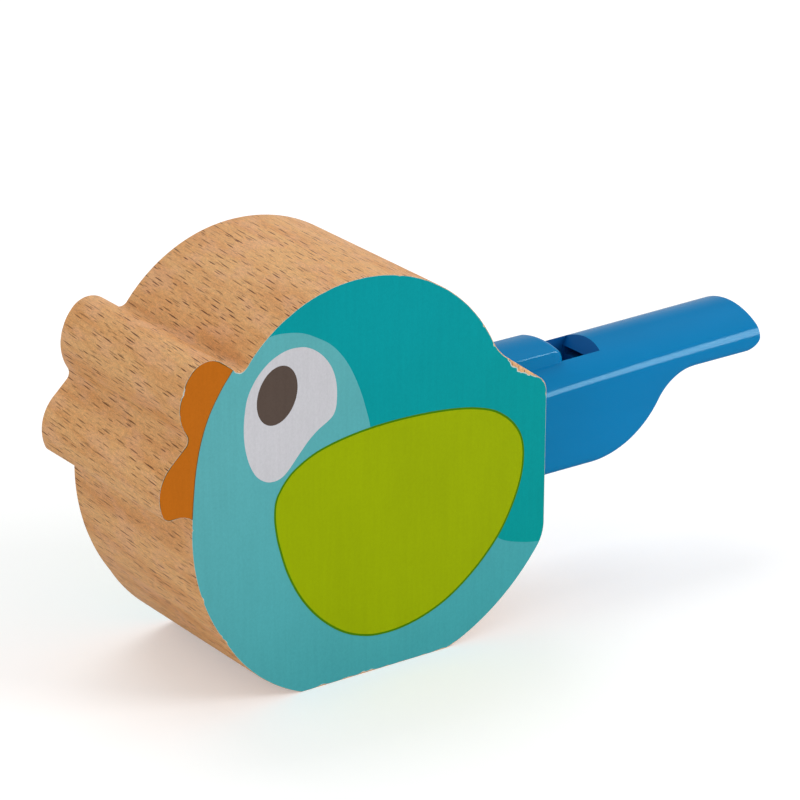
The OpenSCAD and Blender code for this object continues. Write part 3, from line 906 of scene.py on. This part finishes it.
def beech_finish(sizes, colours):
    """Sanded beech: warm bands, fine pores and short dark flecks along the grain"""
    material, tree, shader = new_finish("sanded_beech")
    grain = add_node(tree, "ShaderNodeUVMap", uv_map="grain").outputs["UV"]
    turned = add_node(
        tree, "ShaderNodeVectorRotate", {"Vector": grain, "Angle": -sizes.grain_tilt},
        rotation_type="Z_AXIS").outputs["Vector"]
    bands = stretched_noise(tree, turned, (0.30, 0.035, 1.0), detail=3.0, roughness=0.6)
    fibres = stretched_noise(
        tree, turned, (1.7, 0.10, 1.0), detail=3.0, roughness=0.6, offset=(11.0, 3.0, 0.0))
    patches = stretched_noise(tree, turned, (0.33, 0.15, 1.0), detail=2.0, offset=(31.0, 7.0, 0.0))
    pores = stretched_noise(tree, turned, (3.2, 0.9, 1.0), detail=3.0, roughness=0.7)
    dust = stretched_noise(tree, turned, (5.5, 4.5, 1.0), detail=2.0, roughness=0.75)
    colour = mixed(tree, ramp(tree, bands, 0.38, 0.66), paint(colours.beech), paint(colours.beech_warm))
    colour = mixed(tree, ramp(tree, fibres, 0.42, 0.68, 0.0, 0.5), colour, paint(colours.beech_warm))
    colour = mixed(tree, ramp(tree, patches, 0.46, 0.66, 0.0, 0.45), colour, paint(colours.beech_pink))
    light = maths(
        tree, "MULTIPLY", ramp(tree, pores, 0.28, 0.72, 0.78, 1.18, smooth=False),
        ramp(tree, dust, 0.28, 0.72, 0.80, 1.20, smooth=False))
    colour = shaded(tree, colour, light)
    crowd = stretched_noise(tree, turned, (0.16, 0.08, 1.0), detail=1.0, offset=(3.0, 8.0, 0.0))
    flecks = maths(
        tree, "MAXIMUM", grain_flecks(tree, turned, sizes, 1.0, 1.0, 0.0),
        grain_flecks(tree, turned, sizes, 0.7, 0.5, 40.0))
    flecks = maths(tree, "MULTIPLY", flecks, ramp(tree, crowd, 0.35, 0.6, 0.6, 1.0))
    colour = mixed(tree, flecks, colour, paint(colours.fleck))
    height = maths(tree, "SUBTRACT", maths(tree, "MULTIPLY", pores, 0.45), flecks)
    finish_shader(tree, shader, colour, ramp(tree, pores, 0.3, 0.7, 0.50, 0.66), height, 0.35, 0.06)
    shader.inputs["Specular IOR Level"].default_value = WOOD_GLOSS
    return material


def ink_finish(name, colour, low=None):
    """Satin print over the wood, whose fine grain shows through; an ink may change towards the tail's foot"""
    material, tree, shader = new_finish(name + "_ink")
    place = add_node(tree, "ShaderNodeTexCoord").outputs["Object"]
    streaks = stretched_noise(tree, place, (1500.0, 1500.0, 70.0), detail=3.0, roughness=0.6)
    cloud = stretched_noise(tree, place, (90.0, 90.0, 60.0), detail=2.0)
    specks = stretched_noise(tree, place, (3600.0, 3600.0, 2600.0), detail=2.0, roughness=0.7)
    light = maths(
        tree, "MULTIPLY", ramp(tree, streaks, 0.25, 0.75, 0.965, 1.035, smooth=False),
        maths(tree, "MULTIPLY", ramp(tree, cloud, 0.3, 0.7, 0.97, 1.03, smooth=False),
              ramp(tree, specks, 0.25, 0.75, 0.95, 1.05, smooth=False)))
    base = paint(colour)
    if low:
        slope = add_node(
            tree, "ShaderNodeVectorMath", {0: place, 1: (-0.4, 0.0, 1.0)},
            operation="DOT_PRODUCT").outputs["Value"]
        base = mixed(tree, ramp(tree, slope, 50 * MM, -2 * MM, smooth=False), paint(colour), paint(low))
    height = maths(tree, "ADD", streaks, maths(tree, "MULTIPLY", specks, 0.6))
    roughness = ramp(tree, specks, 0.3, 0.7, 0.42, 0.55)
    finish_shader(tree, shader, shaded(tree, base, light), roughness, height, 0.25, 0.03)
    shader.inputs["Specular IOR Level"].default_value = INK_GLOSS
    shader.inputs["Specular Tint"].default_value = gloss_tint(colour)
    return material


def gloss_tint(colour):
    """Tint of an ink's gloss, which keeps a strong colour strong"""
    red, green, blue, _ = paint(colour)
    most = max(red, green, blue)
    return (0.1 + 0.9 * red / most, 0.1 + 0.9 * green / most, 0.1 + 0.9 * blue / most, 1.0)


def moulded_finish(name, colour, roughness, specular=0.5, tint=(1.0, 1.0, 1.0)):
    """Moulded plastic, with a faint flow in its colour, and a gloss that is weaker at a low angle"""
    material, tree, shader = new_finish(name)
    place = add_node(tree, "ShaderNodeTexCoord").outputs["Object"]
    flow = stretched_noise(tree, place, (60.0, 150.0, 150.0), detail=2.0)
    skin = stretched_noise(tree, place, (900.0, 900.0, 900.0), detail=3.0, roughness=0.6)
    light = ramp(tree, flow, 0.3, 0.7, 0.97, 1.03, smooth=False)
    matt = ramp(tree, skin, 0.3, 0.7, roughness * 0.85, roughness * 1.15, smooth=False)
    finish_shader(tree, shader, shaded(tree, paint(colour), light), matt, skin, 0.03, 0.02)
    facing = add_node(tree, "ShaderNodeLayerWeight").outputs["Facing"]
    level = ramp(tree, facing, 0.28, 0.6, specular, GRAZING_SHARE * specular)
    tree.links.new(level, shader.inputs["Specular IOR Level"])
    shader.inputs["Specular Tint"].default_value = paint(tint)
    return material


def steel_finish(colour):
    """Turned steel, with fine rings left by the tool"""
    material, tree, shader = new_finish("turned_steel")
    place = add_node(tree, "ShaderNodeTexCoord").outputs["Object"]
    rings = stretched_noise(tree, place, (9000.0, 60.0, 60.0), detail=2.0)
    light = ramp(tree, rings, 0.3, 0.7, 0.9, 1.05, smooth=False)
    matt = ramp(tree, rings, 0.3, 0.7, 0.25, 0.4, smooth=False)
    finish_shader(tree, shader, shaded(tree, paint(colour), light), matt, rings, 0.2, 0.01)
    shader.inputs["Metallic"].default_value = 1.0
    return material


def rubber_finish(colour):
    """Greased black rubber"""
    material, tree, shader = new_finish("seal_rubber")
    place = add_node(tree, "ShaderNodeTexCoord").outputs["Object"]
    skin = stretched_noise(tree, place, (2500.0, 2500.0, 2500.0), detail=2.0)
    light = ramp(tree, skin, 0.3, 0.7, 0.8, 1.25, smooth=False)
    finish_shader(
        tree, shader, shaded(tree, paint(colour), light), ramp(tree, skin, 0.3, 0.7, 0.3, 0.5, smooth=False))
    return material


def dress_node(name, material):
    """Gives a CAD node its finish"""
    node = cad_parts[name]
    for slot in node.material_slots:
        slot.material = material
    return node


# Operators


class BIRDCALL_OT_block(Operator):
    """Builds the beech block over the wood's solid"""

    bl_idname = "birdcall.block"
    bl_label = "Beech block"

    def execute(self, context):
        sizes = context.scene.bird_call_sizes
        material = beech_finish(sizes, context.scene.bird_call_colours)
        block = block_mesh(sizes, material)
        low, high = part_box("bore_sleeve")
        cut_away(block, [bar_tool(low.x, high.x + 2 * MM, (high.y - low.y) / 2 + BORE_GAP * MM, material)])
        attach(block, "bird")
        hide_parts("wood_body")
        return {"FINISHED"}


class BIRDCALL_OT_print(Operator):
    """Prints the bird on both faces of the block"""

    bl_idname = "birdcall.print"
    bl_label = "Printed faces"

    def execute(self, context):
        sizes = context.scene.bird_call_sizes
        colours = context.scene.bird_call_colours
        names = (
            "teal", "light_blue", "orange", "beak_brown", "eye_white", "pupil", "lime", "wing_green",
            "primer")
        inks = {
            name: ink_finish(name, getattr(colours, name), getattr(colours, name + "_low", None))
            for name in names}
        for piece in print_meshes(sizes, inks):
            if not piece.data.polygons:
                raise RuntimeError(piece.name + " has no faces")
            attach(piece, "bird")
        return {"FINISHED"}


class BIRDCALL_OT_whistle(Operator):
    """Finishes the whistle, its cap, its windway block and its slide tube"""

    bl_idname = "birdcall.whistle"
    bl_label = "Blue whistle"

    def execute(self, context):
        sizes = context.scene.bird_call_sizes
        colours = context.scene.bird_call_colours
        gloss = colours.plastic_gloss
        blue = moulded_finish("blue_plastic", colours.blue_plastic, 0.16, specular=0.13, tint=gloss)
        # The inner blue is painted shade on the window's walls, the tongue and the windway block
        inside = moulded_finish("shaded_inner_blue", colours.shaded_inner_blue, 0.45, specular=0.12, tint=gloss)
        # The bore blue is painted shade on the faces that the bore's bars cut
        deep = moulded_finish("painted_bore_shade", colours.painted_bore_shade, 0.6, specular=0.05, tint=gloss)
        # The windway block takes the darker inner blue as painted shade
        ease_edges(dress_node("windway_block", inside), sizes.moulded_edge)
        dress_node("slide_tube", blue)
        shell = shell_piece(sizes, blue, inside, deep)
        soften(shell, sizes.moulded_edge)
        head, tongue = cap_pieces(sizes, blue, inside)
        for piece in (shell, head, tongue):
            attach(piece, "whistle")
        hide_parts("whistle_shell")
        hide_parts("voicing_cap")
        return {"FINISHED"}


class BIRDCALL_OT_piston(Operator):
    """Finishes the fixed piston, its rod, the sleeve and the guide bush"""

    bl_idname = "birdcall.piston"
    bl_label = "Piston and sleeve"

    def execute(self, context):
        colours = context.scene.bird_call_colours
        white = moulded_finish("white_plastic", colours.white_plastic, 0.4)
        steel = steel_finish(colours.steel)
        for name in ("bore_sleeve", "guide_bush", "piston_head"):
            dress_node(name, white)
        for name in ("piston_rod", "piston_screw"):
            dress_node(name, steel)
        dress_node("piston_ring", rubber_finish(colours.rubber))
        return {"FINISHED"}


class BIRDCALL_OT_studio(Operator):
    """Sets the floor, the lights, the white background and the camera"""

    bl_idname = "birdcall.studio"
    bl_label = "Studio"

    def execute(self, context):
        studio = context.scene.bird_call_studio
        context.scene.view_settings.view_transform = "Standard"
        studio_floor(context.scene.bird_call_colours.floor, studio.floor_glow)
        room_light(context.scene, studio.room)
        softbox("key_softbox", *KEY_SOFTBOX, studio.key_box).visible_glossy = False
        softbox("gloss_card", *GLOSS_CARD, studio.gloss_card).visible_diffuse = False
        softbox("top_softbox", *TOP_SOFTBOX, studio.top_box)
        softbox("fill_softbox", *FILL_SOFTBOX, studio.fill_box)
        photo_camera(context.scene)
        return {"FINISHED"}


# Studio


def studio_floor(colour, glow):
    """A wide pale floor that keeps the object's shadow and is white in the picture"""
    mesh = bpy.data.meshes.new("studio_floor")
    corners = [(x * FLOOR_HALF, y * FLOOR_HALF, 0) for x, y in ((-1, -1), (1, -1), (1, 1), (-1, 1))]
    mesh.from_pydata(corners, [], [(0, 1, 2, 3)])
    floor = bpy.data.objects.new("studio_floor", mesh)
    bpy.context.scene.collection.objects.link(floor)
    material, tree, shader = new_finish("pale_floor")
    shader.inputs["Base Color"].default_value = paint(colour)
    shader.inputs["Roughness"].default_value = 0.9
    shader.inputs["Specular IOR Level"].default_value = 0.0
    rays = add_node(tree, "ShaderNodeLightPath")
    shader.inputs["Emission Color"].default_value = (1.0, 1.0, 1.0, 1.0)
    strength = maths(tree, "MULTIPLY", rays.outputs["Is Camera Ray"], glow)
    tree.links.new(strength, shader.inputs["Emission Strength"])
    mesh.materials.append(material)


def room_light(scene, strength):
    """Light from all round, and white where the camera or a reflection looks past the object"""
    world = bpy.data.worlds.new("studio_room")
    scene.world = world
    world.use_nodes = True
    tree = world.node_tree
    background = tree.nodes["Background"]
    background.inputs["Color"].default_value = (1.0, 1.0, 1.0, 1.0)
    rays = add_node(tree, "ShaderNodeLightPath")
    seen = maths(tree, "MAXIMUM", rays.outputs["Is Camera Ray"], rays.outputs["Is Glossy Ray"])
    seen = maths(tree, "MAXIMUM", seen, rays.outputs["Is Transmission Ray"])
    tree.links.new(ramp(tree, seen, 0.0, 1.0, strength, 1.0, smooth=False), background.inputs["Strength"])


def softbox(name, place, target, size, power):
    """A rectangular studio lamp at a place, facing the target"""
    lamp = bpy.data.lights.new(name, "AREA")
    lamp.shape = "RECTANGLE"
    lamp.size, lamp.size_y = size
    lamp.energy = power
    holder = bpy.data.objects.new(name, lamp)
    holder.location = place
    holder.rotation_mode = "QUATERNION"
    holder.rotation_quaternion = (Vector(target) - Vector(place)).to_track_quat("-Z", "Y")
    bpy.context.scene.collection.objects.link(holder)
    return holder


def photo_camera(scene):
    """The camera at the photograph's place, angle and lens"""
    camera = bpy.data.cameras.new("photo_camera")
    camera.lens = CAMERA_LENS
    camera.sensor_width = 36.0
    camera.clip_start = 0.01
    camera.clip_end = 20.0
    holder = bpy.data.objects.new("photo_camera", camera)
    azimuth, elevation, roll = (math.radians(angle) for angle in CAMERA_ANGLES)
    ahead = Vector((
        -math.sin(azimuth) * math.cos(elevation), math.cos(azimuth) * math.cos(elevation),
        -math.sin(elevation)))
    right = Vector((math.cos(azimuth), math.sin(azimuth), 0.0))
    down = ahead.cross(right)
    across = right * math.cos(roll) + down * math.sin(roll)
    up = right * math.sin(roll) - down * math.cos(roll)
    turn = Matrix((across, up, -ahead)).transposed()
    holder.matrix_world = Matrix.Translation(CAMERA_PLACE) @ turn.to_4x4()
    scene.collection.objects.link(holder)
    scene.camera = holder


# Panel


class VIEW3D_PT_bird_call(Panel):
    """Sizes, colours and building steps of the bird call"""

    bl_label = "Bird call"
    bl_idname = "VIEW3D_PT_bird_call"
    bl_space_type = "VIEW_3D"
    bl_region_type = "UI"
    bl_category = "Bird call"

    def draw(self, context):
        layout = self.layout
        for holder, kind in GROUPS.items():
            box = layout.box()
            box.label(text=kind.__doc__)
            for name in kind.__annotations__:
                box.prop(getattr(context.scene, holder), name)
        for operator in OPERATORS:
            layout.operator(operator.bl_idname)


OPERATORS = (
    BIRDCALL_OT_block, BIRDCALL_OT_print, BIRDCALL_OT_whistle, BIRDCALL_OT_piston, BIRDCALL_OT_studio)
GROUPS = {
    "bird_call_sizes": BirdCallSizes,
    "bird_call_colours": BirdCallColours,
    "bird_call_studio": BirdCallStudio,
}
CLASSES = (*GROUPS.values(), *OPERATORS, VIEW3D_PT_bird_call)


def register():
    for cls in CLASSES:
        bpy.utils.register_class(cls)
    for holder, kind in GROUPS.items():
        setattr(bpy.types.Scene, holder, PointerProperty(type=kind))


def unregister():
    for holder in GROUPS:
        delattr(bpy.types.Scene, holder)
    for cls in reversed(CLASSES):
        bpy.utils.unregister_class(cls)


def main():
    register()
    bpy.ops.birdcall.block()
    bpy.ops.birdcall.print()
    bpy.ops.birdcall.whistle()
    bpy.ops.birdcall.piston()
    bpy.ops.birdcall.studio()


if __name__ == "__main__":
    main()
